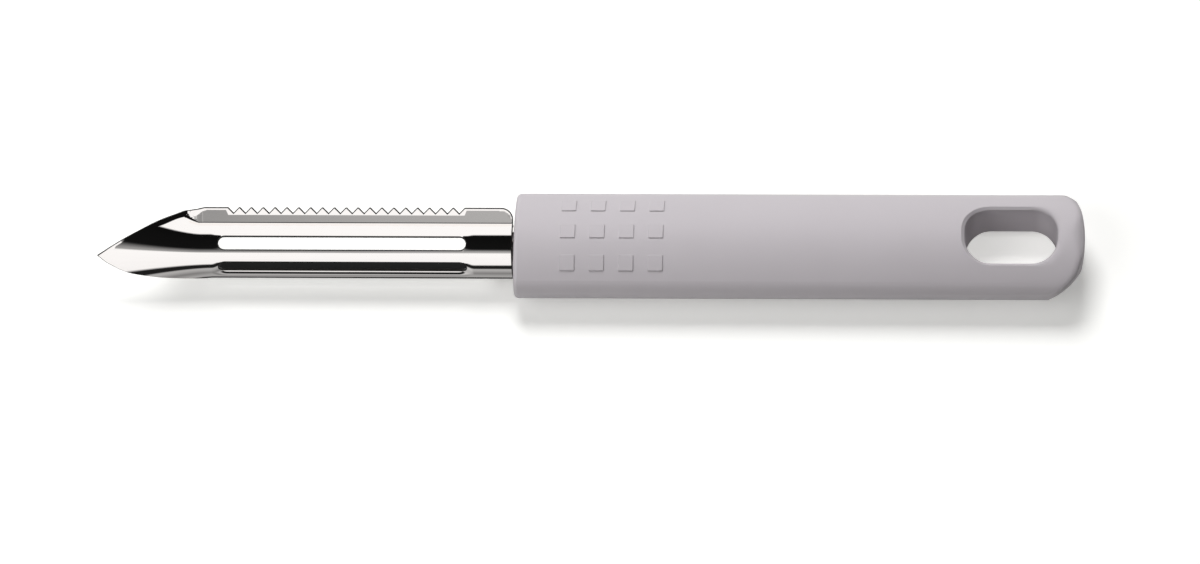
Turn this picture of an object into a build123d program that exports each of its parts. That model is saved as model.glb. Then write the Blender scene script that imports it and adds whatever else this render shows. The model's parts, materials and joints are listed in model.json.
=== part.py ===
from build123d import *
import os
from math import asin, atan2, cos, degrees, pi, radians, sin, sqrt, tan

# Vegetable peeler with a straight handle and a swivelling trough blade.
# Millimetres. +X runs from the blade's point to the butt, +Y is across, +Z is up.
# The origin lies under the middle of the length, on the table that the handle lies on.

# Handle moulding
handle_length = 109.4
handle_width = 21.8
handle_thickness = 12.0
handle_side_radius = 3.8
front_edge_radius = 0.9
rest_flat_depth = 0.15
butt_end_radius = 19.5
butt_corner_radius = 3.5
butt_top_radius = 2.5
butt_ball_radius = 13.0
butt_ball_height = 10.0
butt_ball_overhang = 1.0

# Hanging hole, a rounded slot from the handle's top to its underside
hang_hole_length = 17.8
hang_hole_width = 11.6
hang_hole_corner_radius = 5.0
hang_hole_rim_chamfer = 0.6
hang_hole_inset = 14.1

# Raised squares for the thumb
grip_columns = 4
grip_rows = 3
grip_square = 2.8
grip_height = 0.18
grip_column_pitch = 5.65
grip_row_pitch = 6.2
grip_inset = 10.4

# Blade, one steel stamping. Angles are in degrees from the ridge of the trough.
blade_length = 80.3
sheet = 0.6
trough_radius = 5.8
trough_offset = 0.6
near_edge_angle = 76
bend_angle = 70
bend_radius = 0.3
flange_reach = 8.5
flange_droop = 8
flange_corner_radius = 2.2
rest_roll = 44

# Point of the blade, cut like a quill. The shares are of its length and width.
nib_near_length = 22.0
nib_far_length = 20.6
nib_near_shares = ((0.09, 0.28), (0.24, 0.60), (0.37, 0.74), (0.54, 0.85), (0.77, 0.93))
nib_far_shares = ((0.17, 0.27), (0.345, 0.505), (0.58, 0.755), (0.80, 0.89))

# The trough opens out towards the point, where its far wall and the flange run out
nib_opening = 8.3
nib_wall_start = 12.0
nib_wall_length = 8.0
nib_wall_reach = 6.0
nib_bend_radius = 3.0
nib_sections = 9

# The two slots beside the ridge bar, with lips that stand a little proud to cut
slot_start = 23.5
slot_length = 47.9
slot_width = 2.5
slot_angle = 25
lip_angle = 38
lip_foot_angle = 56
lip_lift = 0.2
lip_blend = 3.0
blend_sections = 5

# Saw teeth along the flange
teeth_start = 25.1
tooth_count = 20
tooth_pitch = 2.3
tooth_depth = 1.05
tooth_land = 0.25

# Ground edge of the flange, wide under the teeth and narrow beside them
ground_start = 19.5
ground_depth = 0.42
ground_width = 0.5
tooth_ground_width = 1.15

# Swivel: the stamping's end wall turns on a pin that is moulded into the handle
pin_radius = 1.5
pin_clearance = 0.05
swivel_gap = 0.3
collar_wall = 0.5
collar_length = 2.6
ear_radius = 3.3
head_radius = 2.5
head_length = 1.3
head_chamfer = 0.5
head_gap = 0.2
anchor_length = 24.0
anchor_groove_width = 1.6
anchor_groove_depth = 0.35
anchor_groove_pitch = 6.0
anchor_groove_count = 3

# Stop lug on the end wall and the arc groove that it runs in
swivel_range = 88
lug_angle = 60
lug_radius = 4.4
lug_width = 1.8
lug_reach = 1.6
lug_clearance = 0.25
stop_clearance = 0.1
lug_groove_chords = 4

# One overrun for every cut that passes through
overrun = 2.0

overall_length = blade_length + swivel_gap + handle_length
tip_x = -overall_length / 2
butt_x = overall_length / 2
handle_front_x = butt_x - handle_length
blade_rear_x = tip_x + blade_length
axis_z = handle_thickness / 2 - rest_flat_depth
handle_top_z = axis_z + handle_thickness / 2


def ease(share):
    """A smooth rise from 0 to 1."""
    return share * share * (3 - 2 * share)


def at_angle(radius, angle):
    """A point of the blade's section, at an angle from the ridge towards the flange."""
    return Vector(radius * sin(radians(angle)), radius * cos(radians(angle)))


def oval(half_width, half_thickness):
    """A four-arc oval: flat arcs above and below, tight arcs at the sides."""
    side = half_thickness * handle_side_radius / (handle_thickness / 2)
    side_x = half_width - side
    crown = (side_x**2 + half_thickness**2 - side**2) / (2 * (half_thickness - side))
    lean = atan2(side_x, crown - half_thickness)
    join_x = crown * sin(lean)
    join_y = crown * cos(lean) - crown + half_thickness
    return make_face(
        [
            ThreePointArc((-join_x, join_y), (0, half_thickness), (join_x, join_y)),
            ThreePointArc((join_x, join_y), (half_width, 0), (join_x, -join_y)),
            ThreePointArc((join_x, -join_y), (0, -half_thickness), (-join_x, -join_y)),
            ThreePointArc((-join_x, -join_y), (-half_width, 0), (-join_x, join_y)),
        ]
    )


def handle_section():
    """The handle's oval at its front face."""
    plane = Plane(origin=(handle_front_x, 0, axis_z), x_dir=(0, 1, 0), z_dir=(1, 0, 0))
    return plane * oval(handle_width / 2, handle_thickness / 2)


def handle_bar():
    """The oval run the whole length, rounded at the front edge."""
    bar = extrude(handle_section(), handle_length)
    front = bar.faces().sort_by(Axis.X)[0]
    return fillet(front.edges(), front_edge_radius)


def butt_side():
    """What the side view keeps: the rest flat, and a butt with a tight round above a long one."""
    top = butt_top_radius
    bottom = handle_top_z - butt_top_radius
    shoulder = sqrt(0.5)
    front = handle_front_x - overrun
    edges = [
        Line((front, 0), (butt_x - bottom, 0)),
        ThreePointArc(
            (butt_x - bottom, 0),
            (butt_x - bottom + bottom * shoulder, bottom - bottom * shoulder),
            (butt_x, bottom),
        ),
        ThreePointArc(
            (butt_x, bottom),
            (butt_x - top + top * shoulder, bottom + top * shoulder),
            (butt_x - top, handle_top_z),
        ),
        Line((butt_x - top, handle_top_z), (front, handle_top_z)),
        Line((front, handle_top_z), (front, 0)),
    ]
    return extrude(Plane.XZ * make_face(edges), handle_width, both=True)


def butt_plan():
    """What the butt keeps, seen from above: a shallow arc between two rounded corners."""
    half = handle_width / 2
    sag = butt_end_radius - sqrt(butt_end_radius**2 - half**2)
    front = handle_front_x - overrun
    edges = [
        Line((front, -half), (butt_x - sag, -half)),
        ThreePointArc((butt_x - sag, -half), (butt_x, 0), (butt_x - sag, half)),
        Line((butt_x - sag, half), (front, half)),
        Line((front, half), (front, -half)),
    ]
    outline = make_face(edges)
    outline = fillet(outline.vertices().sort_by(Axis.X)[-2:], butt_corner_radius)
    return Pos(0, 0, -overrun) * extrude(outline, handle_thickness + 2 * overrun)


def butt_waste():
    """What lies outside the ball that rounds the butt's lower corners."""
    centre_x = butt_x + butt_ball_overhang - butt_ball_radius
    ball = Pos(centre_x, 0, butt_ball_height) * Sphere(butt_ball_radius)
    beyond = (butt_ball_radius, 2 * handle_width, 3 * handle_thickness)
    block = Box(*beyond, align=(Align.MIN, Align.CENTER, Align.CENTER))
    return Pos(centre_x, 0, 0) * block - ball


def grip_squares():
    """The pads that stand proud of the handle's curved top."""
    skin = extrude(offset(handle_section(), grip_height), handle_length)
    pads = []
    for column in range(grip_columns):
        for row in range(grip_rows):
            x = handle_front_x + grip_inset + column * grip_column_pitch
            y = (row - (grip_rows - 1) / 2) * grip_row_pitch
            pad = Pos(x, y, axis_z) * Box(
                grip_square, grip_square, handle_thickness, align=(Align.CENTER, Align.CENTER, Align.MIN)
            )
            pads.append(pad & skin)
    return pads


def hang_hole():
    """The rounded slot through the handle near its butt."""
    outline = RectangleRounded(hang_hole_length, hang_hole_width, hang_hole_corner_radius)
    depth = handle_thickness + 2 * overrun
    return Pos(butt_x - hang_hole_inset, 0, -overrun) * extrude(outline, depth)


def lug_groove():
    """The arc in the handle's front face that lets the lug run from stop to stop."""
    lug_half_angle = (lug_width / 2 + stop_clearance) / lug_radius * 180 / pi
    start = 90 + rest_roll - lug_angle + lug_half_angle
    sweep = swivel_range + 2 * lug_half_angle
    half_width = sheet / 2 + lug_clearance
    plane = Plane(origin=(handle_front_x, 0, axis_z), x_dir=(0, 1, 0), z_dir=(1, 0, 0))
    depth = lug_reach - swivel_gap + lug_clearance
    ring = Circle(lug_radius + half_width) - Circle(lug_radius - half_width)
    corners = [(0, 0)]
    for chord in range(lug_groove_chords + 1):
        angle = radians(start - sweep * chord / lug_groove_chords)
        corners.append((2 * handle_width * cos(angle), 2 * handle_width * sin(angle)))
    wedge = make_face(Polyline(*corners, close=True))
    return extrude(plane * (ring & wedge), depth)


def pin_profile():
    """Half of the pin's long section: head, bearing, and the grooved anchor."""
    head_front = blade_rear_x - sheet - collar_length - head_gap - head_length
    head_back = head_front + head_length
    anchor_end = handle_front_x + anchor_length
    points = [(head_front, 0), (head_front, head_radius), (head_back, head_radius), (head_back, pin_radius)]
    groove_start = anchor_end - anchor_groove_count * anchor_groove_pitch
    for groove in range(anchor_groove_count):
        x = groove_start + groove * anchor_groove_pitch
        points.append((x, pin_radius))
        points.append((x, pin_radius - anchor_groove_depth))
        points.append((x + anchor_groove_width, pin_radius - anchor_groove_depth))
        points.append((x + anchor_groove_width, pin_radius))
    points.append((anchor_end, pin_radius))
    points.append((anchor_end, 0))
    return make_face(Plane.XZ * Polyline(*points, close=True))


def pivot_pin():
    """The steel pin, held in the handle and headed inside the trough."""
    pin = revolve(pin_profile(), Axis.X, 360)
    head_front = pin.faces().sort_by(Axis.X)[0]
    pin = chamfer(head_front.edges(), head_chamfer)
    return Pos(0, 0, axis_z) * pin


def handle():
    body = handle_bar() - hang_hole()
    hole_x = butt_x - hang_hole_inset
    reach = hang_hole_length / 2 + hang_hole_rim_chamfer
    rims = [
        edge
        for edge in body.edges()
        if abs(edge.center().X - hole_x) < reach
        and abs(edge.center().Y) < hang_hole_width / 2 + hang_hole_rim_chamfer
        and edge.bounding_box().size.Z < handle_thickness / 2
        and edge.bounding_box().size.X <= hang_hole_length
    ]
    body = chamfer(rims, hang_hole_rim_chamfer)
    body = body & butt_side()
    body = body & butt_plan()
    body = body - butt_waste()
    for pad in grip_squares():
        body = body + pad
    return body - lug_groove() - pivot_pin()


def lip_rise(angle, lift):
    """How far the sheet stands out of the round at an angle, next to the slots."""
    turn = abs(angle)
    bar_angle = 2 * slot_angle - lip_angle
    if turn >= lip_foot_angle or turn <= bar_angle:
        return 0
    if turn >= lip_angle:
        return lift * ((lip_foot_angle - turn) / (lip_foot_angle - lip_angle)) ** 2
    return lift * (turn - bar_angle) / (lip_angle - bar_angle)


def trough_arcs(radius, lift):
    """The trough's arcs from the free edge to the flange's bend, with its lips lifted."""
    bar_angle = 2 * slot_angle - lip_angle
    joins = [-near_edge_angle, -lip_foot_angle, -lip_angle, -bar_angle]
    joins += [bar_angle, lip_angle, lip_foot_angle, bend_angle]
    arcs = []
    for first, last in zip(joins, joins[1:]):
        angles = (first, (first + last) / 2, last)
        arcs.append(ThreePointArc(*[at_angle(radius + lip_rise(angle, lift), angle) for angle in angles]))
    return arcs


def flange_edges(depth, radius, wall_angle, bend):
    """The bend and the flange of one skin, at a depth in the sheet."""
    centre = at_angle(radius + bend, wall_angle) + Vector(0, trough_radius - radius)
    start = centre - at_angle(bend + depth, wall_angle)
    middle = centre - at_angle(bend + depth, (wall_angle + flange_droop) / 2)
    end = centre - at_angle(bend + depth, flange_droop)
    fall = (flange_reach - end.X) * tan(radians(flange_droop))
    return [ThreePointArc(start, middle, end), Line(end, Vector(flange_reach, end.Y - fall))]


def section_face(distance, outer, inner):
    """The sheet between two skins, each a run of edges from the free edge to the flange's edge."""
    ends = [Line(outer[0] @ 0, inner[0] @ 0), Line(outer[-1] @ 1, inner[-1] @ 1)]
    plane = Plane(origin=(tip_x + distance, 0, 0), x_dir=(0, 1, 0), z_dir=(1, 0, 0))
    return plane * make_face(outer + inner + ends)


def blade_section(distance, lift):
    """The sheet's section beside the slots and behind them."""
    skins = []
    for depth in (0, sheet):
        flange = flange_edges(depth, trough_radius, bend_angle, bend_radius)
        skins.append(trough_arcs(trough_radius - depth, lift) + flange)
    return section_face(distance, *skins)


def opened_radius(distance, length):
    """The trough's radius near the point, where it opens out over a length."""
    return trough_radius + nib_opening * max(1 - distance / length, 0) ** 1.5


def nib_section(distance):
    """The sheet's section in front of the slots: two arcs that share the ridge, bend and flange."""
    near_radius = opened_radius(distance, slot_start - lip_blend / 2)
    far_radius = opened_radius(distance, nib_wall_start + nib_wall_length)
    near_angle = asin(trough_radius * sin(radians(near_edge_angle)) / near_radius)
    formed = ease(min(max((distance - nib_wall_start) / nib_wall_length, 0), 1))
    wall_reach = nib_wall_reach + (trough_radius * sin(radians(bend_angle)) - nib_wall_reach) * formed
    wall_angle = degrees(asin(wall_reach / far_radius))
    bend = nib_bend_radius + (bend_radius - nib_bend_radius) * formed
    skins = []
    for depth in (0, sheet):
        edges = []
        for radius, first, last in ((near_radius, -degrees(near_angle), 0), (far_radius, 0, wall_angle)):
            centre = Vector(0, trough_radius - radius)
            angles = (first, (first + last) / 2, last)
            edges.append(ThreePointArc(*[centre + at_angle(radius - depth, angle) for angle in angles]))
        skins.append(edges + flange_edges(depth, far_radius, wall_angle, bend))
    return section_face(distance, *skins)


def blade_sheet():
    """The formed sheet before its outline, slots and teeth are cut."""
    slot_end = slot_start + slot_length
    rise_start = slot_start - lip_blend / 2
    rise_end = slot_start + lip_blend / 2
    fall_start = slot_end - lip_blend / 2
    fall_end = slot_end + lip_blend / 2
    shares = [step / (blend_sections - 1) for step in range(blend_sections)]
    rise = [blade_section(rise_start + lip_blend * share, lip_lift * ease(share)) for share in shares]
    fall = [blade_section(fall_start + lip_blend * share, lip_lift * ease(1 - share)) for share in shares]
    nib = [nib_section(rise_start * step / (nib_sections - 1)) for step in range(nib_sections)]
    lipped = extrude(blade_section(rise_end, lip_lift), fall_start - rise_end)
    rear = extrude(blade_section(fall_end, 0), blade_length - fall_end)
    return loft(nib) + loft(rise) + lipped + loft(fall) + rear


def plan_outline():
    """The blade's outline seen along the ridge: the nib, the flange edge, the rounded rear corner."""
    width = trough_radius + sheet
    near = [(tip_x, 0)]
    near += [(tip_x + nib_near_length * x, -trough_radius * y) for x, y in nib_near_shares]
    near.append((tip_x + nib_near_length, -trough_radius))
    far = [(tip_x, 0)]
    far += [(tip_x + nib_far_length * x, flange_reach * y) for x, y in nib_far_shares]
    far.append((tip_x + nib_far_length, flange_reach))
    corner = flange_corner_radius
    turn = corner * (1 - sqrt(0.5))
    edges = [
        Spline(*near),
        Line((tip_x + nib_near_length, -trough_radius), (tip_x + nib_near_length, -width)),
        Line((tip_x + nib_near_length, -width), (blade_rear_x, -width)),
        Line((blade_rear_x, -width), (blade_rear_x, flange_reach - corner)),
        ThreePointArc(
            (blade_rear_x, flange_reach - corner),
            (blade_rear_x - turn, flange_reach - turn),
            (blade_rear_x - corner, flange_reach),
        ),
        Line((blade_rear_x - corner, flange_reach), (tip_x + nib_far_length, flange_reach)),
        Spline(*far),
    ]
    return extrude(make_face(edges), trough_radius + sheet + lip_lift, both=True)


def slots():
    """The two punched slots, one each side of the ridge bar."""
    cuts = []
    for side in (-1, 1):
        outline = SlotOverall(slot_length, slot_width)
        direction = at_angle(1, side * slot_angle)
        centre_x = tip_x + slot_start + slot_length / 2
        plane = Plane(origin=(centre_x, 0, 0), x_dir=(1, 0, 0), z_dir=(0, direction.X, direction.Y))
        cuts.append(extrude(plane * outline, trough_radius + overrun))
    return cuts


def teeth():
    """The V notches that leave the saw teeth."""
    notch_half_width = (tooth_pitch - tooth_land) / 2
    spread = (tooth_depth + overrun) / tooth_depth
    cuts = []
    for tooth in range(tooth_count):
        x = tip_x + teeth_start + (tooth + 0.5) * tooth_pitch
        root = (x, flange_reach - tooth_depth)
        left = (x - notch_half_width * spread, flange_reach + overrun)
        right = (x + notch_half_width * spread, flange_reach + overrun)
        outline = make_face(Polyline(root, left, right, close=True))
        cuts.append(extrude(outline, trough_radius, both=True))
    return cuts


def flange_height(reach):
    """The height of the flange's outer face over the trough's axis, at a reach from it."""
    flange = flange_edges(0, trough_radius, bend_angle, bend_radius)[-1]
    start = flange @ 0
    return start.Y - (reach - start.X) * tan(radians(flange_droop))


def ground_edge(start, length, width):
    """What grinding takes off the flange's outer face along a stretch of its edge."""
    inner = flange_reach - width
    top = flange_height(inner)
    slope = (top - flange_height(flange_reach) + ground_depth) / width
    outer = flange_reach + overrun
    low = top - slope * (outer - inner)
    corners = [(inner, top), (outer, low), (outer, top + overrun), (inner, top + overrun)]
    plane = Plane(origin=(tip_x + start, 0, 0), x_dir=(0, 1, 0), z_dir=(1, 0, 0))
    return extrude(plane * make_face(Polyline(*corners, close=True)), length)


def end_wall():
    """The wall folded down at the trough's rear."""
    plane = Plane(origin=(blade_rear_x - sheet, 0, 0), x_dir=(0, 1, 0), z_dir=(1, 0, 0))
    floor_z = trough_radius * cos(radians(near_edge_angle))
    keep = Pos(0, floor_z) * Rectangle(
        2 * trough_radius, 2 * trough_radius, align=(Align.CENTER, Align.MIN)
    )
    return extrude(plane * (Circle(trough_radius) & keep), sheet)


def collar():
    """The ear on the end wall, and the drawn collar that turns on the pin."""
    plane = Plane(origin=(blade_rear_x - sheet, 0, 0), x_dir=(0, 1, 0), z_dir=(1, 0, 0))
    tube = Circle(pin_radius + pin_clearance + collar_wall)
    return extrude(plane * Circle(ear_radius), sheet) + extrude(plane * tube, -collar_length)


def stop_lug():
    """The tab bent back from the end wall into the handle's arc groove."""
    centre = at_angle(lug_radius, lug_angle)
    plane = Plane(
        origin=(blade_rear_x - sheet, centre.X, centre.Y),
        x_dir=(0, cos(radians(lug_angle)), -sin(radians(lug_angle))),
        z_dir=(1, 0, 0),
    )
    return extrude(plane * Rectangle(lug_width, sheet), sheet + lug_reach)


def blade():
    tooth_row = tooth_count * tooth_pitch
    body = blade_sheet() & plan_outline()
    body = body - ground_edge(ground_start, blade_length - ground_start + overrun, ground_width)
    body = body - ground_edge(teeth_start, tooth_row, tooth_ground_width)
    for cut in slots() + teeth():
        body = body - cut
    body = Pos(0, -trough_offset, 0) * (body + end_wall())
    body = body + collar() + stop_lug()
    bore_plane = Plane(origin=(blade_rear_x + overrun, 0, 0), x_dir=(0, 1, 0), z_dir=(-1, 0, 0))
    bore = extrude(bore_plane * Circle(pin_radius + pin_clearance), collar_length + sheet + 2 * overrun)
    return Pos(0, 0, axis_z) * Rot(rest_roll, 0, 0) * (body - bore)


parts = {"handle": handle(), "pivot_pin": pivot_pin(), "blade": blade()}

os.makedirs("parts", exist_ok=True)
for name, shape in parts.items():
    box = shape.bounding_box()
    print(name, len(shape.solids()), "solid", round(shape.volume, 1), "mm3", box.min, box.max)
    export_step(shape, f"parts/{name}.step")
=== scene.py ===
import json
import math

import bpy
import numpy as np
from mathutils import Matrix, Vector
from mathutils.geometry import delaunay_2d_cdt

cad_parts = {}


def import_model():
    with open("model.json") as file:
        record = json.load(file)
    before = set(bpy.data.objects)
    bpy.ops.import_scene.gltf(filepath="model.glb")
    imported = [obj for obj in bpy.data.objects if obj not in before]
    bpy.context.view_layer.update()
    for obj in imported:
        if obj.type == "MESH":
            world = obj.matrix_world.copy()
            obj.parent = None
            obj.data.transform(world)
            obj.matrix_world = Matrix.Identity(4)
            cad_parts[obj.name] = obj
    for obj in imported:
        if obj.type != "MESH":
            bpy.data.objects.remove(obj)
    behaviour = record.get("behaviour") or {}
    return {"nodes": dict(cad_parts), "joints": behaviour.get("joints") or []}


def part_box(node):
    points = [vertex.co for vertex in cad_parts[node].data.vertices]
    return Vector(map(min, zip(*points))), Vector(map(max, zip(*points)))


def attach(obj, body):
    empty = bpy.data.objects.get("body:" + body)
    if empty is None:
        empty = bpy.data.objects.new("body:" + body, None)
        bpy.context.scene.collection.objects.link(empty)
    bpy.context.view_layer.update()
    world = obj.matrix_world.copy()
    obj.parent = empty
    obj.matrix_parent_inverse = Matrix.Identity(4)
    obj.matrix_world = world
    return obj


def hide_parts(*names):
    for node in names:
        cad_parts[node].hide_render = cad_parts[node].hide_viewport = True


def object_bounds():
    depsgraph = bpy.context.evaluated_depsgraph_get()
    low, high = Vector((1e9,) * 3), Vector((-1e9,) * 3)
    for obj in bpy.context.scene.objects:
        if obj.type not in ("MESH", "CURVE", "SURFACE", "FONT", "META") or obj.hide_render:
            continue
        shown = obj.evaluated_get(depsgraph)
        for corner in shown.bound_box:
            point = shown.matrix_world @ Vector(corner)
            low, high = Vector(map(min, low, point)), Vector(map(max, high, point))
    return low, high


# Vegetable peeler: satin grey handle, mirror-polished blade, on a white table.
# Angles are in degrees unless a comment says otherwise.
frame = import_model()
cad_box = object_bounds()
nodes = frame["nodes"]
axis_height = frame["joints"][0]["pos_m"][2]

# Photograph's frame, and where the handle's axis lies in it under the middle of the tool
PHOTO_WIDTH = 1200
PHOTO_HEIGHT = 564
MIDDLE_X = 590.3
MIDDLE_Y = 246.0
TOOL_PIXELS = 984.0

# Camera, in metres and with a sensor in millimetres
CAMERA_AZIMUTH = 8.5
CAMERA_ELEVATION = 62.0
CAMERA_DISTANCE = 1.2
CAMERA_NEAR = 0.05
CAMERA_FAR = 20.0
SENSOR_WIDTH = 36.0
AXIS_SLOPE = 0.22

# Lamps: azimuth from the front to the right, elevation, distance and side in metres, power in watts
BACK_SOFTBOX = (187.0, 55.0, 0.9, 0.42, 6.6)
FRONT_FILL = (-60.0, 44.0, 0.45, 0.38, 0.85)

# What polished steel sees: brightness against degrees from the front horizon over the top
STUDIO = (
    (-180, 0.9), (-150, 0.7), (-112, 0.25), (-106, 0.015), (-88, 0.015), (-82, 0.3), (-72, 0.38),
    (-48, 0.21), (-30, 0.42), (-25, 0.42), (-21, 0.012), (-8, 0.012), (-3, 0.95), (42.5, 1.0),
    (44.5, 0.32), (47.5, 0.28), (52, 0.13), (58.5, 0.006), (113, 0.004), (117.5, 1.0), (180, 1.0),
)

# Panels that lighten that ramp: where they rise and fall, by the turn over the tool in radians and by the
# lean to the right as a share of 1, and how much they lighten it
LOW_PANEL_TURN = ((-1.3, -1.0), (-0.5, -0.4))
LOW_PANEL_LEAN = (-0.3, -0.06)
LOW_PANEL_LEVEL = 0.3
HIGH_PANEL_TURN = ((0.72, 0.76), (0.85, 1.0))
HIGH_PANEL_LEAN = ((-0.15, -0.08), (-0.07, -0.05))
HIGH_PANEL_LEVEL = 0.2

# Light that falls on everything else from all round, and the white that the camera sees
PLAIN_LEVEL = 0.12
WHITE = (1, 1, 1, 1)

# Table, in metres: its colour and the near-black colour of a painted shadow under the trough, how much the
# camera sees its white lifted all over outside that painted shadow, and how much more painted light it sees
# under the hanging hole
TABLE_REACH = 3.0
TABLE_AND_PAINTED_SHADOW_COLOURS = ((0.9, 0.9, 0.885, 1), (0.02, 0.02, 0.02, 1))
TABLE_GLOW = (1, 1, 0.97, 1)
TABLE_LIFT = 0.28
PAINTED_HOLE_LIGHT = 0.22

# Soft-edged places on the table, each with a rise and a fall along the tool and then across it: the painted
# shadow under the trough and the painted light under the hanging hole
PAINTED_SHADOW_UNDER_TROUGH = (((-0.079, -0.072), (-0.022, -0.015)), ((-0.0048, -0.0024), (-0.0006, 0.0016)))
PAINTED_LIGHT_UNDER_HOLE = (((0.071, 0.073), (0.089, 0.091)), ((-0.006, -0.003), (0.005, 0.007)))

# Finishes: the two colours that each varies between, and the range of its roughness
PLASTIC_COLOURS = ((0.525, 0.493, 0.518, 1), (0.56, 0.528, 0.553, 1))
PLASTIC_ROUGHNESS = (0.42, 0.5)
PLASTIC_IOR = 1.49
POLISHED_COLOURS = ((0.96, 0.925, 0.905, 1), (0.99, 0.96, 0.94, 1))
POLISHED_ROUGHNESS = (0.03, 0.07)
# The cut edges' near-black colours are painted shade that outlines the blade's edges.
CUT_EDGE_AND_SHADE_COLOURS = ((0.02, 0.019, 0.018, 1), (0.07, 0.068, 0.065, 1))
SHEARED_ROUGHNESS = (0.3, 0.45)

# Noise in the finishes: scale for a metre with detail, stretch along the tool, and height in metres
CLOUD_NOISE = (60.0, 3.0)
GRAIN_NOISE = (5200.0, 2.0)
GRAIN_HEIGHT = 0.00003
GRAIN_STRENGTH = 0.12
STREAK_NOISE = (2500.0, 3.0)
STREAK_STRETCH = (0.05, 1.0, 1.0)
WAVE_NOISE = (110.0, 1.0)
WAVE_STRETCH = (0.35, 1.0, 1.0)
WAVE_HEIGHT = 0.00005
SHEAR_NOISE = (3000.0, 2.0)
NOISE_MIDDLE = (0.3, 0.7)

# The handle's edges look rounded by a radius that grows towards the butt, in metres
BUTT_START = (0.084, 0.089)
EDGE_ROUNDING = (0.0002, 0.0022)
ROUNDING_SAMPLES = 6

# The blade's formed sheet: measures in millimetres, as in the model
SHEET = 0.6
BLADE_LENGTH = 80.3
TROUGH = 5.8
TROUGH_OFFSET = 0.6
REST_ROLL = 44.0
NEAR_EDGE_ANGLE = 76.0
BEND_ANGLE = 70.0
BEND_RADIUS = 0.3
FLANGE_REACH = 8.5
FLANGE_DROOP = 8.0
FLANGE_CORNER = 2.2

# The point, which opens out. The spans are distances from the point between which a form changes, and the
# shares are places on its two sides, along its length and out to its full reach.
NIB_OPENING = 8.3
NIB_OPEN_CURVE = 1.5
NIB_NEAR_OPEN = 22.0
NIB_FAR_OPEN = 20.0
NIB_WALL_REACH = 5.2
NIB_WALL_SWELL = 0.8
NIB_BEND_RADIUS = 3.0
NIB_DROOP = 31.0
NIB_FLAT_DROOP = 3.0
NIB_FLAT_END = 18.2
SWELL_SPAN = (10.0, 18.0)
REACH_SPAN = (16.8, 19.6)
BEND_SPAN = (13.5, 19.8)
DROOP_SPAN = (16.4, 18.0)
FLAT_SPAN = (NIB_FLAT_END - 0.2, NIB_FLAT_END + 0.2)
NIB_NEAR_LENGTH = 22.0
NIB_FAR_LENGTH = 20.6
NIB_NEAR_SHARES = ((0.09, 0.28), (0.24, 0.60), (0.37, 0.74), (0.54, 0.85), (0.77, 0.93))
NIB_FAR_SHARES = ((0.17, 0.27), (0.345, 0.505), (0.58, 0.755), (0.80, 0.89))

# Slots and their lips. The far one's lip stands out, and the near one's is pressed in.
SLOT_START = 23.5
SLOT_LENGTH = 47.9
SLOT_WIDTH = 2.5
SLOT_ANGLE = 25.0
LIP_ANGLE = 38.0
LIP_FOOT_ANGLE = 56.0
LIP_LIFT = 0.2
LIP_BLEND = 3.0
NEAR_LIP_DIP = 0.5
NEAR_LIP_CURVE = 1.25
NEAR_LIP_SPAN = 14.0

# Saw teeth
TEETH_START = 25.1
TOOTH_COUNT = 20
TOOTH_PITCH = 2.3
TEETH_END = TEETH_START + TOOTH_COUNT * TOOTH_PITCH
TOOTH_DEPTH = 1.05
TOOTH_LAND = 0.25

# End wall, collar and stop lug
PIN_BORE = 1.55
COLLAR_WALL = 0.5
COLLAR_LENGTH = 2.6
EAR_RADIUS = 3.3
LUG_ANGLE = 60.0
LUG_RADIUS = 4.4
LUG_WIDTH = 1.8
LUG_REACH = 1.6

# Ground strip along the far edge: its widths from the point to the rear corner, the places where they
# change, and the angles by which it is set up from the flange
GROUND_WIDTH = 0.5
TIP_GROUND_LENGTH = 5.4
TIP_GROUND_RISE = 0.8
TIP_GROUND_FALL = 0.6
TIP_SET_END = TIP_GROUND_LENGTH + 1
NIB_GROUND_WIDTH = 0.9
NIB_GROUND_RISE = (15.8, 17.0)
NIB_GROUND_FALL = (17.0, 18.2)
LEAD_GROUND_WIDTH = 0.85
LEAD_GROUND_LENGTH = 2.6
TOOTH_GROUND_WIDTH = 1.45
REAR_GROUND_LENGTH = 3.0
REAR_GROUND_REACH = (6.2, 6.8)
LEAST_GROUND_WIDTH = 0.25
GROUND_SET = 4.0
TIP_GROUND_SET = 10.0
NIB_EDGE_FALL = 30.0

# Mesh: how far edges are broken, with the limits of the mitres, the grid's steps, and how far the grid
# stays away from lines. The table of runs has a start, an end and a step.
EDGE_BREAK = 0.18
FOLD_LIMIT = 0.3
MITRE_LIMIT = 0.45
GRID_STEP = 0.42
RUN_STEP = 0.9 * GRID_STEP
RUN_LIMITS = (-7.5, 11.0)
RUN_TABLE = (-9.0, 12.0, 0.01)
BEND_LINES = 9
BEND_MARGIN = 0.12
EDGE_MARGIN = GRID_STEP / 4
STRIP_MARGIN = GRID_STEP / 6
MERGE_DISTANCE = 1e-5
LEAST_RISE = 1e-6
CURVE_STEPS = 9
CORNER_STEPS = 12
SLOT_END_STEPS = 17
CIRCLE_STEPS = 48
SHARP_ANGLE = 25.0

# Zones of the sheet's faces
OUTER, INNER, GROUND, UPPER_BREAK, CUT, LOWER_BREAK, END_WALL = range(7)
SHEARED_ZONES = (UPPER_BREAK, CUT, LOWER_BREAK)


def way_to(azimuth, elevation):
    """The direction from the tool to a place, with the azimuth counted from the front to the right."""
    a = math.radians(azimuth)
    e = math.radians(elevation)
    return Vector((math.sin(a) * math.cos(e), -math.cos(a) * math.cos(e), math.sin(e)))


def link(name, data):
    """A new object in the scene."""
    thing = bpy.data.objects.new(name, data)
    bpy.context.scene.collection.objects.link(thing)
    return thing


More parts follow.
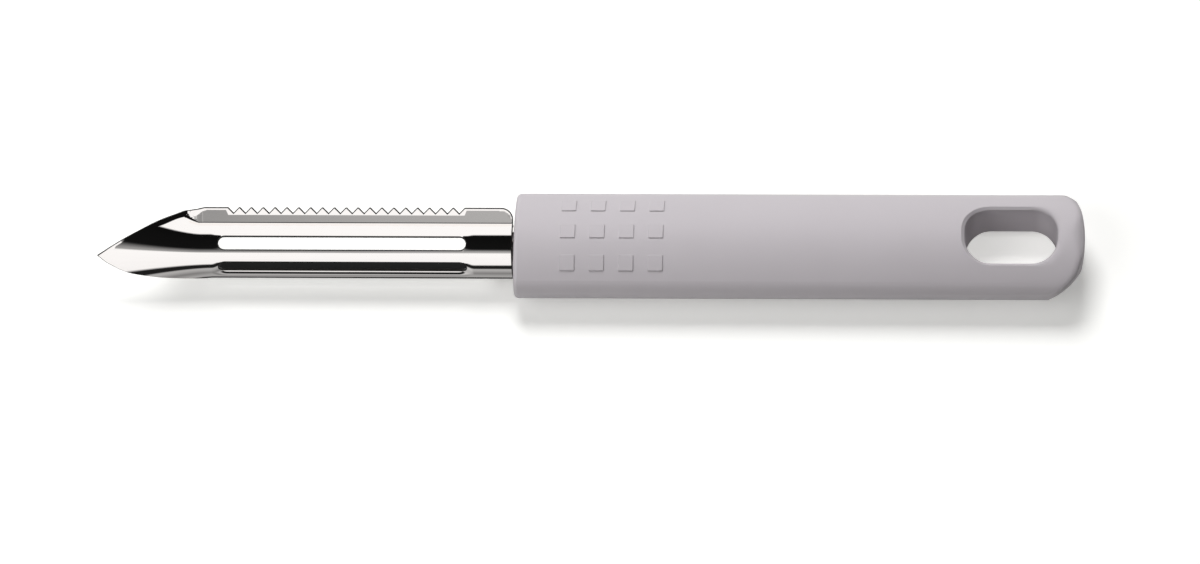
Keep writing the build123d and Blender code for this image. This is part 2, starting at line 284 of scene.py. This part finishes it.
def camera():
    """A long lens at the photograph's angle, rolled so that the tool lies level."""
    back = way_to(CAMERA_AZIMUTH, CAMERA_ELEVATION)
    along = Vector((1, 0, 0))
    right = (along - along.dot(back) * back).normalized()
    length = cad_box[1].x - cad_box[0].x
    pixel = length * along.dot(right) / TOOL_PIXELS
    right = Matrix.Rotation(math.radians(AXIS_SLOPE), 3, back) @ right
    up = back.cross(right)
    across = (MIDDLE_X - PHOTO_WIDTH / 2) * pixel
    rise = (PHOTO_HEIGHT / 2 - MIDDLE_Y) * pixel
    target = Vector((0, 0, axis_height)) - across * right - rise * up
    data = bpy.data.cameras.new("camera")
    data.sensor_width = SENSOR_WIDTH
    data.lens = SENSOR_WIDTH * CAMERA_DISTANCE / (PHOTO_WIDTH * pixel)
    data.clip_start = CAMERA_NEAR
    data.clip_end = CAMERA_FAR
    shot = link("camera", data)
    shot.rotation_mode = "QUATERNION"
    shot.rotation_quaternion = Matrix((right, up, back)).transposed().to_quaternion()
    shot.location = target + back * CAMERA_DISTANCE
    bpy.context.scene.camera = shot


class Nodes:
    """A short way to write a shader's node tree."""

    def __init__(self, tree):
        self.tree = tree
        tree.nodes.clear()

    def add(self, kind, values=None, **settings):
        """A new node. Values are constants or other nodes' outputs, by the input's name or number."""
        node = self.tree.nodes.new(kind)
        for name, value in settings.items():
            setattr(node, name, value)
        for socket, value in (values or {}).items():
            if isinstance(value, bpy.types.NodeSocket):
                self.tree.links.new(value, node.inputs[socket])
            else:
                node.inputs[socket].default_value = value
        return node

    def math(self, operation, first, second=0.0, third=0.0):
        values = {0: first, 1: second, 2: third}
        return self.add("ShaderNodeMath", values, operation=operation).outputs[0]

    def smooth_step(self, value, low, high, start=0.0, end=1.0):
        """A smooth change from start to end between a low and a high value."""
        values = {"Value": value, "From Min": low, "From Max": high, "To Min": start, "To Max": end}
        settings = {"interpolation_type": "SMOOTHSTEP", "clamp": True}
        return self.add("ShaderNodeMapRange", values, **settings).outputs[0]

    def between(self, value, rise, fall):
        """1 between a smooth rise and a smooth fall, and 0 outside them."""
        falling = self.smooth_step(value, *fall, 1.0, 0.0)
        return self.math("MULTIPLY", self.smooth_step(value, *rise), falling)

    def mix(self, share, colours):
        """A colour between two. The node's colour sockets go by number, since their names repeat."""
        values = {0: share, 6: colours[0], 7: colours[1]}
        return self.add("ShaderNodeMix", values, data_type="RGBA").outputs[2]

    def noise(self, place, scale, detail):
        values = {"Vector": place, "Scale": scale, "Detail": detail}
        return self.add("ShaderNodeTexNoise", values).outputs["Fac"]

    def stretched(self, place, scale):
        return self.add("ShaderNodeMapping", {"Vector": place, "Scale": scale}).outputs[0]

    def place(self):
        """Where a point lies in its object, in metres."""
        return self.add("ShaderNodeTexCoord").outputs["Object"]

    def background(self, colour, strength):
        return self.add("ShaderNodeBackground", {"Strength": strength, "Color": colour}).outputs[0]

    def choose(self, share, first, second):
        return self.add("ShaderNodeMixShader", {0: share, 1: first, 2: second}).outputs[0]


def new_material(name):
    """A material and the start of its node tree."""
    material = bpy.data.materials.new(name)
    material.use_nodes = True
    return material, Nodes(material.node_tree)


def principled(n, values):
    """Ends a material with a principled shader."""
    shader = n.add("ShaderNodeBsdfPrincipled", values)
    n.add("ShaderNodeOutputMaterial", {"Surface": shader.outputs[0]})


def world():
    """White and black panels over the tool for reflections, and plain soft light for the rest."""
    scene_world = bpy.data.worlds.new("studio")
    scene_world.use_nodes = True
    bpy.context.scene.world = scene_world
    n = Nodes(scene_world.node_tree)
    ray = n.add("ShaderNodeLightPath")
    way = n.add("ShaderNodeSeparateXYZ", {0: n.add("ShaderNodeTexCoord").outputs["Generated"]})
    lean = way.outputs["X"]
    turn = n.math("ARCTAN2", way.outputs["Z"], n.math("MULTIPLY", way.outputs["Y"], -1.0))
    ramp = n.add("ShaderNodeValToRGB", {0: n.math("MULTIPLY_ADD", turn, 0.5 / math.pi, 0.5)})
    stops = ramp.color_ramp.elements
    while len(stops) < len(STUDIO):
        stops.new(1.0)
    for stop, (angle, level) in zip(stops, STUDIO):
        stop.position = (angle + 180) / 360
        stop.color = (level, level, level, 1)
    leftwards = n.smooth_step(lean, *LOW_PANEL_LEAN, LOW_PANEL_LEVEL, 0.0)
    low = n.math("MULTIPLY", n.between(turn, *LOW_PANEL_TURN), leftwards)
    high = n.math("MULTIPLY", n.between(turn, *HIGH_PANEL_TURN), n.between(lean, *HIGH_PANEL_LEAN))
    lift = n.math("MULTIPLY_ADD", high, HIGH_PANEL_LEVEL, low)
    seen = n.add("ShaderNodeMixRGB", {0: lift, 1: ramp.outputs["Color"], 2: WHITE}).outputs[0]
    lit = n.choose(ray.outputs["Is Glossy Ray"], n.background(WHITE, PLAIN_LEVEL), n.background(seen, 1.0))
    out = n.choose(ray.outputs["Is Camera Ray"], lit, n.background(WHITE, 1.0))
    n.add("ShaderNodeOutputWorld", {"Surface": out})


def lamp(name, azimuth, elevation, distance, size, power):
    """A soft square lamp that looks at the middle of the tool and that the steel doesn't mirror."""
    data = bpy.data.lights.new(name, "AREA")
    data.size = size
    data.energy = power
    thing = link(name, data)
    back = way_to(azimuth, elevation)
    thing.location = back * distance
    thing.rotation_mode = "QUATERNION"
    thing.rotation_quaternion = back.to_track_quat("Z", "Y")
    thing.visible_glossy = False


def spot(n, place, along, across):
    """1 inside a soft-edged rectangle of the table, and 0 outside it."""
    return n.math("MULTIPLY", n.between(place.outputs["X"], *along), n.between(place.outputs["Y"], *across))


def table():
    """A pale table that stays white outside the tool's soft shadow, with a painted shadow under the trough
    and painted light under the hanging hole.
    """
    mesh = bpy.data.meshes.new("table")
    corners = [(TABLE_REACH * x, TABLE_REACH * y, 0) for x, y in ((-1, -1), (1, -1), (1, 1), (-1, 1))]
    mesh.from_pydata(corners, [], [(0, 1, 2, 3)])
    thing = link("table", mesh)
    material, n = new_material("table")
    place = n.add("ShaderNodeSeparateXYZ", {0: n.place()})
    # Painted shadow: the table turns near black under the trough, and the camera's lift is left out there.
    painted_shadow = spot(n, place, *PAINTED_SHADOW_UNDER_TROUGH)
    paper = n.add("ShaderNodeBsdfDiffuse", {"Color": n.mix(painted_shadow, TABLE_AND_PAINTED_SHADOW_COLOURS)})
    open_lift = n.math("MULTIPLY", n.math("SUBTRACT", 1.0, painted_shadow), TABLE_LIFT)
    # Painted light: the camera sees more white under the hanging hole, lifting the handle's shadow there.
    lift = n.math("MULTIPLY_ADD", spot(n, place, *PAINTED_LIGHT_UNDER_HOLE), PAINTED_HOLE_LIGHT, open_lift)
    seen = n.add("ShaderNodeLightPath").outputs["Is Camera Ray"]
    glow = n.add("ShaderNodeEmission", {"Color": TABLE_GLOW, "Strength": n.math("MULTIPLY", lift, seen)})
    lit = n.add("ShaderNodeAddShader", {0: paper.outputs[0], 1: glow.outputs[0]})
    n.add("ShaderNodeOutputMaterial", {"Surface": lit.outputs[0]})
    thing.visible_glossy = False
    mesh.materials.append(material)


def satin_plastic():
    """Light warm grey polypropylene with a fine spark-eroded grain."""
    material, n = new_material("satin_plastic")
    place = n.place()
    cloud = n.noise(place, *CLOUD_NOISE)
    grain = n.noise(place, *GRAIN_NOISE)
    along = n.add("ShaderNodeSeparateXYZ", {0: place}).outputs["X"]
    radius = n.smooth_step(along, *BUTT_START, *EDGE_ROUNDING)
    rounding = n.add("ShaderNodeBevel", {"Radius": radius}, samples=ROUNDING_SAMPLES).outputs[0]
    values = {"Strength": GRAIN_STRENGTH, "Distance": GRAIN_HEIGHT, "Height": grain, "Normal": rounding}
    principled(n, {
        "Base Color": n.mix(cloud, PLASTIC_COLOURS),
        "Roughness": n.smooth_step(cloud, *NOISE_MIDDLE, *PLASTIC_ROUGHNESS),
        "IOR": PLASTIC_IOR,
        "Normal": n.add("ShaderNodeBump", values).outputs[0],
    })
    return material


def polished_steel():
    """Mirror-polished stainless strip with faint lengthwise marks and the slight waves of a stamping."""
    material, n = new_material("polished_steel")
    place = n.place()
    lines = n.noise(n.stretched(place, STREAK_STRETCH), *STREAK_NOISE)
    waves = n.noise(n.stretched(place, WAVE_STRETCH), *WAVE_NOISE)
    wavy = n.add("ShaderNodeBump", {"Strength": 1.0, "Distance": WAVE_HEIGHT, "Height": waves}).outputs[0]
    principled(n, {
        "Base Color": n.mix(lines, POLISHED_COLOURS),
        "Metallic": 1.0,
        "Roughness": n.smooth_step(lines, *NOISE_MIDDLE, *POLISHED_ROUGHNESS),
        "Normal": wavy,
    })
    return material


def sheared_steel_and_shade():
    """Cut edges of the strip: duller than the polished faces, and near black, a painted shade that draws
    dark outlines along them.
    """
    material, n = new_material("sheared_steel_and_shade")
    marks = n.noise(n.place(), *SHEAR_NOISE)
    principled(n, {
        "Base Color": n.mix(marks, CUT_EDGE_AND_SHADE_COLOURS),
        "Metallic": 1.0,
        "Roughness": n.smooth_step(marks, *NOISE_MIDDLE, *SHEARED_ROUGHNESS),
    })
    return material


def dress(node, material):
    """Gives a CAD node its finish."""
    thing = nodes[node]
    thing.data.materials.clear()
    thing.data.materials.append(material)


def smooth(share):
    """A share of 0 to 1, eased at both ends."""
    share = np.clip(share, 0.0, 1.0)
    return share * share * (3.0 - 2.0 * share)


def risen(value, span):
    """How far a value has come through a span, eased at both ends."""
    return smooth((value - span[0]) / (span[1] - span[0]))


def lip_share(distance):
    """How fully the slots' lips are formed at a distance from the point."""
    rise = smooth((distance - SLOT_START + LIP_BLEND / 2) / LIP_BLEND)
    fall = smooth((SLOT_START + SLOT_LENGTH + LIP_BLEND / 2 - distance) / LIP_BLEND)
    return rise * fall


def section(distance):
    """The section at a distance: near and far radii, wall angle, bend radius, and the flange's droop."""
    near = TROUGH + NIB_OPENING * np.maximum(1 - distance / NIB_NEAR_OPEN, 0) ** NIB_OPEN_CURVE
    far = TROUGH + NIB_OPENING * np.maximum(1 - distance / NIB_FAR_OPEN, 0) ** NIB_OPEN_CURVE
    most = math.sin(math.radians(BEND_ANGLE))
    reach = NIB_WALL_REACH + NIB_WALL_SWELL * risen(distance, SWELL_SPAN)
    reach = reach + (TROUGH * most - NIB_WALL_REACH - NIB_WALL_SWELL) * risen(distance, REACH_SPAN)
    wall = np.arcsin(np.minimum(reach / far, most))
    bend = NIB_BEND_RADIUS + (BEND_RADIUS - NIB_BEND_RADIUS) * risen(distance, BEND_SPAN)
    droop = NIB_FLAT_DROOP + (FLANGE_DROOP - NIB_FLAT_DROOP) * risen(distance, FLAT_SPAN)
    droop = np.radians(droop + NIB_DROOP * (1 - risen(distance, DROOP_SPAN)))
    return near, far, wall, bend, np.minimum(droop, wall)


def lip_height(distance, run, turn):
    """How far the slots' outer lips stand out of the trough, or go into it, at a turn from the ridge."""
    bar = 2 * SLOT_ANGLE - LIP_ANGLE
    slope = np.clip((turn - bar) / (LIP_ANGLE - bar), 0, 1)
    foot = (LIP_FOOT_ANGLE - np.clip(turn, LIP_ANGLE, LIP_FOOT_ANGLE)) / (LIP_FOOT_ANGLE - LIP_ANGLE)
    near_foot = np.clip((LIP_ANGLE + NEAR_LIP_SPAN - turn) / NEAR_LIP_SPAN, 0, 1)
    height = np.where(run < 0, -NEAR_LIP_DIP * near_foot ** NEAR_LIP_CURVE, LIP_LIFT * foot ** 2)
    return lip_share(distance) * height * slope


def sheet_point(distance, run):
    """Points of the outer face: a distance from the point, and a run along the section from the ridge."""
    near, far, wall, bend, droop = section(distance)
    radius = np.where(run < 0, near, far)
    angle = np.where(run < 0, run / near, np.minimum(run / far, wall))
    lifted = radius + lip_height(distance, run, np.degrees(np.abs(angle)))
    y = lifted * np.sin(angle)
    z = lifted * np.cos(angle) + TROUGH - radius
    past = run - far * wall
    swing = np.clip(past / bend, 0, wall - droop)
    y += bend * (np.sin(wall) - np.sin(wall - swing))
    z += bend * (np.cos(wall) - np.cos(wall - swing))
    flat = np.maximum(past - bend * (wall - droop), 0)
    return np.stack([distance, y + flat * np.cos(droop), z - flat * np.sin(droop)], axis=-1)


def sheet_normal(distance, run, step=0.004):
    """Outward normals of the outer face."""
    lengthwise = sheet_point(distance + step, run) - sheet_point(distance - step, run)
    across = sheet_point(distance, run + step) - sheet_point(distance, run - step)
    normal = np.cross(lengthwise, across)
    return normal / np.linalg.norm(normal, axis=-1, keepdims=True)


def run_at(distance, y):
    """The run that lies at a distance and a reach y from the trough's middle plane."""
    runs = np.arange(*RUN_TABLE)
    reached = sheet_point(np.full_like(runs, distance), runs)[:, 1]
    return float(np.interp(y, reached, runs))


def to_runs(path):
    """A path of distances and reaches, as distances and runs."""
    return [np.array((point[0], run_at(point[0], point[1]))) for point in path]


def curve_through(points):
    """A smooth curve through points, with as many steps to each span."""
    points = [np.array(point, float) for point in points]
    points = [2 * points[0] - points[1]] + points + [2 * points[-1] - points[-2]]
    curve = []
    for a, b, c, d in zip(points, points[1:], points[2:], points[3:]):
        for step in range(CURVE_STEPS):
            t = step / CURVE_STEPS
            cubic = (3 * b - a - 3 * c + d) * t**3
            curve.append(0.5 * (2 * b + (c - a) * t + (2 * a - 5 * b + 4 * c - d) * t**2 + cubic))
    curve.append(points[-2])
    return curve


def nib_curve(length, reach, shares):
    """One side of the point's outline, from the point back."""
    points = [(length * x, reach * y) for x, y in shares]
    return curve_through([(0, 0)] + points + [(length, reach)])


def straight(first, last):
    """Even points from one corner up to the next, without the last."""
    first, last = np.array(first, float), np.array(last, float)
    count = max(int(math.ceil(np.linalg.norm(last - first) / GRID_STEP)), 1)
    return [first + (last - first) * i / count for i in range(count)]


def clean(path, least=0.02):
    """A path without points that repeat."""
    kept = [path[0]]
    for point in path[1:]:
        if np.linalg.norm(point - kept[-1]) > least:
            kept.append(point)
    return kept


def far_side(with_teeth):
    """The outline from the point along the flange to the rear, as distances and reaches."""
    path = nib_curve(NIB_FAR_LENGTH, FLANGE_REACH, NIB_FAR_SHARES)
    corners = [(NIB_FAR_LENGTH, FLANGE_REACH)]
    if with_teeth:
        half = (TOOTH_PITCH - TOOTH_LAND) / 2
        for tooth in range(TOOTH_COUNT):
            middle = TEETH_START + (tooth + 0.5) * TOOTH_PITCH
            corners.append((middle - half, FLANGE_REACH))
            corners.append((middle, FLANGE_REACH - TOOTH_DEPTH))
            corners.append((middle + half, FLANGE_REACH))
    centre = np.array((BLADE_LENGTH - FLANGE_CORNER, FLANGE_REACH - FLANGE_CORNER))
    corners.append((centre[0], FLANGE_REACH))
    for first, last in zip(corners, corners[1:]):
        path += straight(first, last)
    for step in range(CORNER_STEPS + 1):
        turn = math.radians(90 - 90 * step / CORNER_STEPS)
        path.append(centre + FLANGE_CORNER * np.array((math.cos(turn), math.sin(turn))))
    return clean(path)


def outline():
    """The whole outline in distances and runs, once round."""
    far = to_runs(far_side(True))
    edge_run = -math.radians(NEAR_EDGE_ANGLE) * TROUGH
    edge_reach = TROUGH * math.sin(math.radians(NEAR_EDGE_ANGLE))
    near = to_runs(nib_curve(NIB_NEAR_LENGTH, -TROUGH, NIB_NEAR_SHARES))
    near = [point for point in near if sheet_point(point[:1], point[1:])[0, 1] > -edge_reach]
    rear = straight(far[-1], (BLADE_LENGTH, edge_run))
    side = straight((BLADE_LENGTH, edge_run), (near[-1][0] + GRID_STEP, edge_run))
    return clean(far + rear[1:] + side + near[:0:-1])


def slot_outline(side):
    """A slot's rounded outline in distances and runs."""
    middle = side * math.radians(SLOT_ANGLE) * TROUGH
    half = math.asin(SLOT_WIDTH / 2 / TROUGH) * TROUGH
    start, end = SLOT_START + half, SLOT_START + SLOT_LENGTH - half
    turns = np.linspace(0, math.pi, SLOT_END_STEPS)
    path = straight((start, middle - half), (end, middle - half))
    path += [np.array((end + half * math.sin(t), middle - half * math.cos(t))) for t in turns]
    path += straight((end, middle + half), (start, middle + half))[1:]
    path += [np.array((start - half * math.sin(t), middle + half * math.cos(t))) for t in turns[:-1]]
    return clean(path)


def inset(loop, amount):
    """A loop moved to its left by an amount, with mitred corners that sharp turns cut short."""
    moved = []
    for before, here, after in zip(loop[-1:] + loop[:-1], loop, loop[1:] + loop[:1]):
        first = (here - before) / np.linalg.norm(here - before)
        last = (after - here) / np.linalg.norm(after - here)
        left = np.array((-first[1] - last[1], first[0] + last[0]))
        left /= max(np.linalg.norm(left), FOLD_LIMIT)
        cosine = max(np.dot(left, (-first[1], first[0])), MITRE_LIMIT)
        moved.append(here + left * amount / cosine)
    return moved


def signed_area(loop):
    """A loop's area, which is less than nothing if it runs clockwise."""
    return sum(a[0] * b[1] - b[0] * a[1] for a, b in zip(loop, loop[1:] + loop[:1])) / 2


def turned(loop, left=True):
    """A loop that runs anticlockwise, or clockwise if left is false."""
    return loop if (signed_area(loop) > 0) == left else loop[::-1]


def inside(points, loop):
    """Which points lie inside a loop."""
    loop = np.array(loop)
    result = np.zeros(len(points), bool)
    for (x1, y1), (x2, y2) in zip(loop, np.roll(loop, -1, axis=0)):
        if y1 == y2:
            continue
        crosses = (points[:, 1] > min(y1, y2)) & (points[:, 1] <= max(y1, y2))
        at = x1 + (points[:, 1] - y1) * (x2 - x1) / (y2 - y1)
        result ^= crosses & (points[:, 0] < at)
    return result


def in_sheet(points, loops):
    """Which points lie inside the first loop and outside the others."""
    kept = inside(points, loops[0])
    for loop in loops[1:]:
        kept &= ~inside(points, loop)
    return kept


def edge_distance(points, path, values=None):
    """How far points lie from a path in a plane, and the path's value at the nearest place."""
    path = np.array(path)
    values = np.zeros(len(path)) if values is None else np.array(values)
    best = np.full(len(points), np.inf)
    found = np.zeros(len(points))
    for a, b, first, last in zip(path, path[1:], values, values[1:]):
        along = np.clip(((points - a) @ (b - a)) / ((b - a) @ (b - a)), 0, 1)
        away = np.linalg.norm(points - a - along[:, None] * (b - a), axis=1)
        nearer = away < best
        best = np.where(nearer, away, best)
        found = np.where(nearer, first + along * (last - first), found)
    return best, found


def ground_width(distance, reach):
    """How wide the ground strip is at a place of the far side."""
    if distance < TIP_GROUND_LENGTH:
        fall = (TIP_GROUND_LENGTH - distance) / TIP_GROUND_FALL
        return GROUND_WIDTH * min(1, distance / TIP_GROUND_RISE, fall)
    if distance < NIB_FLAT_END:
        share = risen(distance, NIB_GROUND_RISE) * (1 - risen(distance, NIB_GROUND_FALL))
        return NIB_GROUND_WIDTH * float(share)
    if distance > BLADE_LENGTH - REAR_GROUND_LENGTH and reach < REAR_GROUND_REACH[1]:
        low, high = REAR_GROUND_REACH
        return GROUND_WIDTH * max((reach - low) / (high - low), 0)
    if TEETH_START < distance < TEETH_END:
        return TOOTH_GROUND_WIDTH
    lead = (NIB_FLAT_END, NIB_FLAT_END + LEAD_GROUND_LENGTH)
    return GROUND_WIDTH + LEAD_GROUND_WIDTH * float(1 - risen(distance, lead))


def ground_side():
    """The far side as it was before the teeth were cut, and the ground strip's width along it."""
    path = far_side(False)
    return path, [ground_width(*point) for point in path]


def ground_rise(distances, runs):
    """How far the ground strip stands above the formed face, set up at an angle from its inner line."""
    away, width = edge_distance(sheet_point(distances, runs)[:, :2], *ground_side())
    droop = np.degrees(section(distances)[4])
    tilt = np.where(distances < NIB_FLAT_END, droop - NIB_EDGE_FALL, GROUND_SET)
    tilt = np.where(distances < TIP_SET_END, TIP_GROUND_SET, tilt)
    return np.maximum(width - away, 0) * np.tan(np.radians(tilt))


def ground_limits():
    """The lines along which the ground strip starts, in distances and runs."""
    path, widths = ground_side()
    lines = [[]]
    for before, here, after, width in zip(path, path[1:], path[2:], widths[1:]):
        if width < LEAST_GROUND_WIDTH:
            lines.append([])
            continue
        along = (after - before) / np.linalg.norm(after - before)
        lines[-1].append(here + np.array((along[1], -along[0])) * width)
    return [to_runs(line) for line in lines if len(line) > 2]


def fill(loops, extra, paths):
    """Triangles inside the first loop and outside the others, through extra points and along paths."""
    verts = [tuple(point) for loop in loops for point in loop] + [tuple(point) for point in extra]
    edges = []
    start = 0
    for loop in loops:
        count = len(loop)
        edges += [(start + i, start + (i + 1) % count) for i in range(count)]
        start += count
    for path in paths:
        first = len(verts)
        verts += [tuple(point) for point in path]
        edges += [(first + i, first + i + 1) for i in range(len(path) - 1)]
    verts = [Vector(point) for point in verts]
    flat, _, faces, origins, _, _ = delaunay_2d_cdt(verts, edges, [], 0, MERGE_DISTANCE)
    flat = np.array([tuple(point) for point in flat])
    faces = np.array([tuple(face) for face in faces])
    corners = flat[faces]
    kept = in_sheet(corners.mean(axis=1), loops)
    turn = np.cross(corners[:, 1] - corners[:, 0], corners[:, 2] - corners[:, 0])
    faces[turn < 0] = faces[turn < 0][:, ::-1]
    places = {source: index for index, sources in enumerate(origins) for source in sources}
    rings = []
    start = 0
    for loop in loops:
        rings.append([places[start + i] for i in range(len(loop))])
        start += len(loop)
    return flat, faces[kept], rings


def inner_points(loops, paths):
    """Grid points inside the sheet and clear of the paths, closer together across the bend."""
    points = []
    for distance in np.arange(GRID_STEP / 2, BLADE_LENGTH, GRID_STEP):
        _, far, wall, bend, droop = section(np.array([distance]))
        start = float((far * wall)[0])
        end = start + float((bend * (wall - droop))[0])
        runs = np.arange(*RUN_LIMITS, RUN_STEP)
        runs = runs[(runs < start - BEND_MARGIN) | (runs > end + BEND_MARGIN)]
        points += [(distance, run) for run in list(runs) + list(np.linspace(start, end, BEND_LINES))]
    points = np.array(points)
    kept = in_sheet(points, loops)
    for loop in loops:
        kept &= edge_distance(points, loop + loop[:1])[0] > EDGE_MARGIN
    for path in paths:
        kept &= edge_distance(points, path)[0] > STRIP_MARGIN
    return points[kept]


def rolled(points):
    """Points or normals of the blade's own frame, rolled as the blade lies at rest."""
    sine = math.sin(math.radians(REST_ROLL))
    cosine = math.cos(math.radians(REST_ROLL))
    x, y, z = points.T
    return np.stack([x, y * cosine - z * sine, y * sine + z * cosine], axis=1)


def placed(points):
    """Points of the blade's own frame, in metres and in their places."""
    return rolled(points) / 1000 + np.array((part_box("blade")[0].x, 0, axis_height))


def formed_sheet():
    """The stamped sheet: vertices, faces, a zone for each face, and the outer face's normals."""
    loops = [turned(outline())] + [turned(slot_outline(side), left=False) for side in (-1, 1)]
    insets = [inset(loop, EDGE_BREAK) for loop in loops]
    limits = ground_limits()
    flat, triangles, rings = fill(insets, inner_points(insets, limits), limits)
    distances, runs = flat.T
    outer = sheet_point(distances, runs)
    normals = sheet_normal(distances, runs)
    rises = ground_rise(distances, runs)
    vertices = [outer + normals * rises[:, None], outer - normals * SHEET]
    count = len(flat)
    faces = [tuple(face) for face in triangles] + [tuple(face[::-1] + count) for face in triangles]
    ground = np.abs(rises[triangles]).max(axis=1) > LEAST_RISE
    zones = list(np.where(ground, GROUND, OUTER)) + [INNER] * len(triangles)
    start = 2 * count
    for loop, ring in zip(loops, rings):
        edge = np.array(loop).T
        place, normal, rise = sheet_point(*edge), sheet_normal(*edge), ground_rise(*edge)
        vertices += [place + normal * (rise - EDGE_BREAK)[:, None], place - normal * (SHEET - EDGE_BREAK)]
        size = len(loop)
        upper, lower = start, start + size
        for i in range(size):
            j = (i + 1) % size
            faces.append((upper + i, upper + j, ring[j], ring[i]))
            faces.append((lower + i, lower + j, upper + j, upper + i))
            faces.append((ring[i] + count, ring[j] + count, lower + j, lower + i))
            zones += [UPPER_BREAK, CUT, LOWER_BREAK]
        start += 2 * size
    return np.concatenate(vertices), faces, zones, normals


def circle(radius, centre=(0.0, 0.0), first=0.0, last=360.0):
    """Points of a circle, or of an arc with both its ends."""
    whole = abs(last - first) >= 360
    turns = np.radians(np.linspace(first, last, CIRCLE_STEPS + 1))[: -1 if whole else None]
    return [np.array((centre[0] + radius * math.cos(t), centre[1] + radius * math.sin(t))) for t in turns]


def plate(loops, start, end):
    """A flat piece square to the blade's length, with its holes, from one distance to another."""
    flat, triangles, rings = fill([loops[0]] + [loop[::-1] for loop in loops[1:]], [], [])
    count = len(flat)
    low = np.column_stack([np.full(count, start), flat])
    high = np.column_stack([np.full(count, end), flat])
    faces = [tuple(face + count) for face in triangles] + [tuple(face[::-1]) for face in triangles]
    for ring in rings:
        for i, j in zip(ring, ring[1:] + ring[:1]):
            faces.append((i, j, j + count, i + count))
    return np.concatenate([low, high]), faces


def end_wall_plates():
    """The end wall with its ear, the collar, and the stop lug."""
    edge_height = TROUGH * math.cos(math.radians(NEAR_EDGE_ANGLE))
    wall_radius = TROUGH - SHEET / 2
    rise = math.degrees(math.asin(edge_height / wall_radius))
    dip = math.degrees(math.asin(edge_height / EAR_RADIUS))
    wall = circle(wall_radius, (-TROUGH_OFFSET, 0), rise, 180 - rise)
    wall += circle(EAR_RADIUS, (0, 0), 180 - dip, 360 + dip)
    bore = circle(PIN_BORE)
    front = BLADE_LENGTH - SHEET
    turn = math.radians(LUG_ANGLE)
    across = np.array((math.cos(turn), -math.sin(turn))) * LUG_WIDTH / 2
    outward = np.array((math.sin(turn), math.cos(turn)))
    middle = outward * LUG_RADIUS
    thick = outward * SHEET / 2
    lug = [middle + x * across + y * thick for x, y in ((1, -1), (1, 1), (-1, 1), (-1, -1))]
    return [
        plate([wall, bore], front, BLADE_LENGTH),
        plate([circle(PIN_BORE + COLLAR_WALL), bore], front - COLLAR_LENGTH, front),
        plate([turned(lug)], front, BLADE_LENGTH + LUG_REACH),
    ]


def mark_sharp(mesh, zones):
    """Marks the edges between zones and at steep corners as sharp."""
    mesh.polygons.foreach_set("use_smooth", [True] * len(mesh.polygons))
    mesh.set_sharp_from_angle(angle=math.radians(SHARP_ANGLE))
    zones_at = {}
    for polygon, zone in zip(mesh.polygons, zones):
        for key in polygon.edge_keys:
            zones_at.setdefault(key, set()).add(int(zone))
    for edge in mesh.edges:
        if len(zones_at[edge.key]) > 1:
            edge.use_edge_sharp = True


def set_normals(mesh, zones, normals):
    """Gives both faces of the sheet the formed shape's own normals, so that they mirror without facets."""
    corners = np.zeros((len(mesh.loops), 3))
    for polygon, zone in zip(mesh.polygons, zones):
        if zone not in (OUTER, INNER):
            continue
        for loop in polygon.loop_indices:
            index = mesh.loops[loop].vertex_index
            corners[loop] = normals[index] if zone == OUTER else -normals[index - len(normals)]
    mesh.normals_split_custom_set(corners.tolist())


def blade_steel(material, edge_material):
    """The whole stamping as one fine mesh, which stands for the blade."""
    points, faces, zones, normals = formed_sheet()
    points = points - np.array((0, TROUGH_OFFSET, 0))
    for more, more_faces in end_wall_plates():
        faces += [tuple(index + len(points) for index in face) for face in more_faces]
        zones += [END_WALL] * len(more_faces)
        points = np.concatenate([points, more])
    mesh = bpy.data.meshes.new("blade_steel")
    faces = [tuple(int(index) for index in face) for face in faces]
    mesh.from_pydata([tuple(point) for point in placed(points)], [], faces)
    mark_sharp(mesh, zones)
    set_normals(mesh, zones, rolled(normals))
    thing = link("blade_steel", mesh)
    mesh.materials.append(material)
    mesh.materials.append(edge_material)
    for polygon, zone in zip(mesh.polygons, zones):
        # Cut and broken edges take the near-black material, painted shade along the edges.
        polygon.material_index = int(zone in SHEARED_ZONES)
    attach(thing, "blade")
    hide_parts("blade")


camera()
world()
table()
lamp("back_softbox", *BACK_SOFTBOX)
lamp("front_fill", *FRONT_FILL)
dress("handle", satin_plastic())
steel = polished_steel()
blade_steel(steel, sheared_steel_and_shade())
dress("pivot_pin", steel)

bpy.context.scene.view_settings.view_transform = "Standard"
